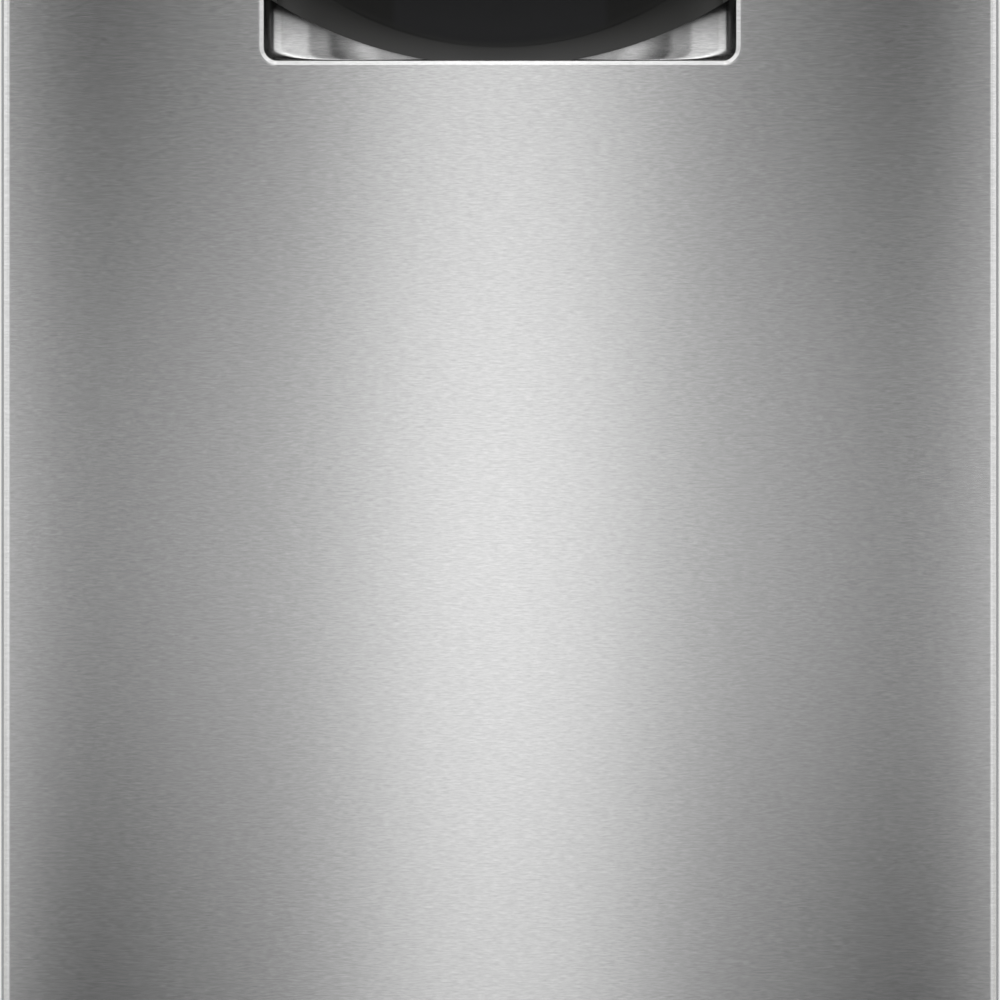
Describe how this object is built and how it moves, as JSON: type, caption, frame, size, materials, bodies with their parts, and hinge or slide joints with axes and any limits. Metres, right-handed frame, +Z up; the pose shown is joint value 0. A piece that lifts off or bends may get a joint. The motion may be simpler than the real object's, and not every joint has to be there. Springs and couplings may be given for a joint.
{
  "type": "freestanding dishwasher",
  "caption": "Freestanding dishwasher with a brushed steel drop-down door, a recessed pocket handle, wire racks and spray arms.",
  "frame": {"origin": "on the floor below the middle of the machine", "axes": "+Z up, the door faces -Y, +X to the right seen from the front"},
  "size_m": [0.6, 0.6, 0.845],
  "materials": {
    "steel_front": "horizontal brushed",
    "tub_steel": "satin",
    "zinc_steel": "zinc plated",
    "casing_paint": "silver grey satin paint",
    "plinth_paint": "black satin paint",
    "galvanised": "galvanised sheet",
    "worktop_board": "grey laminate on board",
    "base_plastic": "moulded, dark grey",
    "black_plastic": "moulded, black",
    "fascia_plastic": "silver lacquer",
    "key_plastic": "silver lacquer",
    "display_glass": "smoked",
    "grey_plastic": "moulded, grey",
    "pale_plastic": "moulded, pale grey",
    "rack_wire": "grey nylon coat",
    "seal_rubber": "matt",
    "pump_metal": "black enamel"
  },
  "bodies": {
    "cabinet": {"base_tray": "base_plastic", "plinth": "plinth_paint", "left_side_panel": "casing_paint", "right_side_panel": "casing_paint", "rear_panel": "galvanised", "worktop": "worktop_board", "tub": "tub_steel", "tub_gasket": "seal_rubber", "water_riser": "pale_plastic", "sump": "grey_plastic", "circulation_pump": "pump_metal", "drain_pump": "grey_plastic", "softener": "pale_plastic", "inlet_valve": "pale_plastic", "rear_connections": "base_plastic", "hinge_brackets": "zinc_steel", "rack_rails": "tub_steel", "latch_strike": "zinc_steel", "door_springs": "zinc_steel", "fine_filter": "tub_steel", "lower_rack": "rack_wire", "cutlery_basket": "grey_plastic"},
    "door": {"door_skin": "steel_front", "handle_grip": "black_plastic", "door_liner": "tub_steel", "fascia": "fascia_plastic", "display_window": "display_glass", "control_module": "black_plastic", "dispenser": "pale_plastic", "latch_housing": "zinc_steel", "hinge_arms": "zinc_steel", "door_seal": "seal_rubber"},
    "upper_rack_body": {"upper_rack": "rack_wire", "upper_feed_pipe": "pale_plastic"},
    "front_left_foot_body": {"front_left_foot": "base_plastic"},
    "front_right_foot_body": {"front_right_foot": "base_plastic"},
    "rear_foot_body": {"rear_foot": "base_plastic"},
    "rear_foot_shaft_body": {"rear_foot_shaft": "zinc_steel"},
    "lower_spray_arm_body": {"lower_spray_arm": "pale_plastic"},
    "upper_spray_arm_body": {"upper_spray_arm": "pale_plastic"},
    "filter_cup_body": {"filter_cup": "grey_plastic"},
    "salt_cap_body": {"salt_cap": "grey_plastic"},
    "lower_tines_left_body": {"lower_tines_left": "rack_wire"},
    "lower_tines_middle_body": {"lower_tines_middle": "rack_wire"},
    "rail_slides_body": {"rail_slides": "tub_steel"},
    "cup_shelf_left_body": {"cup_shelf_left": "grey_plastic"},
    "cup_shelf_right_body": {"cup_shelf_right": "grey_plastic"},
    "detergent_lid_body": {"detergent_lid": "grey_plastic"},
    "rinse_cap_body": {"rinse_cap": "grey_plastic"},
    "latch_claw_body": {"latch_claw": "zinc_steel"},
    "wheel_front_left_body": {"wheel_front_left": "grey_plastic"},
    "wheel_rear_left_body": {"wheel_rear_left": "grey_plastic"},
    "wheel_front_right_body": {"wheel_front_right": "grey_plastic"},
    "wheel_rear_right_body": {"wheel_rear_right": "grey_plastic"},
    "power_button_body": {"power_button": "key_plastic"},
    "start_button_body": {"start_button": "key_plastic"},
    "programme_button_1_body": {"programme_button_1": "key_plastic"},
    "programme_button_2_body": {"programme_button_2": "key_plastic"},
    "programme_button_3_body": {"programme_button_3": "key_plastic"},
    "programme_button_4_body": {"programme_button_4": "key_plastic"}
  },
  "joints": [
    {"name": "door_hinge", "type": "hinge", "parent": "cabinet", "child": "door", "pos_m": [0, -0.2612, 0.112], "axis": [1, 0, 0], "range_deg": [0, 90]},
    {"name": "upper_rack_slide", "type": "slide", "parent": "cabinet", "child": "upper_rack_body", "axis": [0, -1, 0], "range_m": [0, 0.42]},
    {"name": "rail_slides_slide", "type": "slide", "parent": "cabinet", "child": "rail_slides_body", "axis": [0, -1, 0], "range_m": [0, 0.21]},
    {"name": "front_left_foot_slide", "type": "slide", "parent": "cabinet", "child": "front_left_foot_body", "axis": [0, 0, -1], "range_m": [0, 0.02]},
    {"name": "front_right_foot_slide", "type": "slide", "parent": "cabinet", "child": "front_right_foot_body", "axis": [0, 0, -1], "range_m": [0, 0.02]},
    {"name": "rear_foot_slide", "type": "slide", "parent": "cabinet", "child": "rear_foot_body", "axis": [0, 0, -1], "range_m": [0, 0.02]},
    {"name": "rear_foot_turn", "type": "hinge", "parent": "cabinet", "child": "rear_foot_shaft_body", "pos_m": [0, 0, 0.04], "axis": [0, 1, 0], "range_deg": [0, 4320]},
    {"name": "lower_spray_arm_spin", "type": "hinge", "parent": "cabinet", "child": "lower_spray_arm_body", "pos_m": [0, 0, 0.14], "axis": [0, 0, 1], "continuous": true},
    {"name": "upper_spray_arm_spin", "type": "hinge", "parent": "upper_rack_body", "child": "upper_spray_arm_body", "pos_m": [0, 0, 0.47], "axis": [0, 0, 1], "continuous": true},
    {"name": "filter_cup_twist", "type": "hinge", "parent": "cabinet", "child": "filter_cup_body", "pos_m": [0.092, -0.062, 0.1], "axis": [0, 0, 1], "range_deg": [0, 60]},
    {"name": "salt_cap_screw", "type": "hinge", "parent": "cabinet", "child": "salt_cap_body", "pos_m": [-0.13, 0.11, 0.11], "axis": [0, 0, 1], "range_deg": [0, 540]},
    {"name": "lower_tines_left_fold", "type": "hinge", "parent": "cabinet", "child": "lower_tines_left_body", "pos_m": [-0.166, -0.008, 0.1675], "axis": [0, 1, 0], "range_deg": [0, 84]},
    {"name": "lower_tines_middle_fold", "type": "hinge", "parent": "cabinet", "child": "lower_tines_middle_body", "pos_m": [-0.078, -0.008, 0.1675], "axis": [0, 1, 0], "range_deg": [0, 84]},
    {"name": "cup_shelf_left_fold", "type": "hinge", "parent": "upper_rack_body", "child": "cup_shelf_left_body", "pos_m": [-0.221, -0.092, 0.596], "axis": [0, 1, 0], "range_deg": [0, 88]},
    {"name": "cup_shelf_right_fold", "type": "hinge", "parent": "upper_rack_body", "child": "cup_shelf_right_body", "pos_m": [0.221, -0.092, 0.596], "axis": [0, -1, 0], "range_deg": [0, 88]},
    {"name": "detergent_lid_slide", "type": "slide", "parent": "door", "child": "detergent_lid_body", "axis": [0, 0, -1], "range_m": [0, 0.058]},
    {"name": "rinse_cap_turn", "type": "hinge", "parent": "door", "child": "rinse_cap_body", "pos_m": [0.074, -0.239, 0.4], "axis": [0, 1, 0], "range_deg": [0, 90]},
    {"name": "latch_claw_turn", "type": "hinge", "parent": "door", "child": "latch_claw_body", "pos_m": [0, -0.2642, 0.788], "axis": [1, 0, 0], "range_deg": [-15, 0], "stiffness_Nm_per_rad": 0.5},
    {"name": "wheel_front_left_spin", "type": "hinge", "parent": "cabinet", "child": "wheel_front_left_body", "pos_m": [-0.25, -0.15, 0.1443], "axis": [1, 0, 0], "continuous": true},
    {"name": "wheel_front_right_spin", "type": "hinge", "parent": "cabinet", "child": "wheel_front_right_body", "pos_m": [0.25, -0.15, 0.1443], "axis": [1, 0, 0], "continuous": true},
    {"name": "wheel_rear_left_spin", "type": "hinge", "parent": "cabinet", "child": "wheel_rear_left_body", "pos_m": [-0.25, 0.134, 0.1443], "axis": [1, 0, 0], "continuous": true},
    {"name": "wheel_rear_right_spin", "type": "hinge", "parent": "cabinet", "child": "wheel_rear_right_body", "pos_m": [0.25, 0.134, 0.1443], "axis": [1, 0, 0], "continuous": true},
    {"name": "power_button_press", "type": "slide", "parent": "door", "child": "power_button_body", "axis": [0, 1, 0], "range_m": [0, 0.0015], "stiffness_N_per_m": 800},
    {"name": "start_button_press", "type": "slide", "parent": "door", "child": "start_button_body", "axis": [0, 1, 0], "range_m": [0, 0.0015], "stiffness_N_per_m": 800},
    {"name": "programme_button_1_press", "type": "slide", "parent": "door", "child": "programme_button_1_body", "axis": [0, 1, 0], "range_m": [0, 0.0015], "stiffness_N_per_m": 800},
    {"name": "programme_button_2_press", "type": "slide", "parent": "door", "child": "programme_button_2_body", "axis": [0, 1, 0], "range_m": [0, 0.0015], "stiffness_N_per_m": 800},
    {"name": "programme_button_3_press", "type": "slide", "parent": "door", "child": "programme_button_3_body", "axis": [0, 1, 0], "range_m": [0, 0.0015], "stiffness_N_per_m": 800},
    {"name": "programme_button_4_press", "type": "slide", "parent": "door", "child": "programme_button_4_body", "axis": [0, 1, 0], "range_m": [0, 0.0015], "stiffness_N_per_m": 800}
  ],
  "couplings": [
    {"joint": "upper_rack_slide", "follows": "door_hinge", "m_per_rad": 0.267},
    {"joint": "rail_slides_slide", "follows": "door_hinge", "m_per_rad": 0.1335},
    {"joint": "rear_foot_slide", "follows": "rear_foot_turn", "m_per_rad": 0.000265}
  ]
}
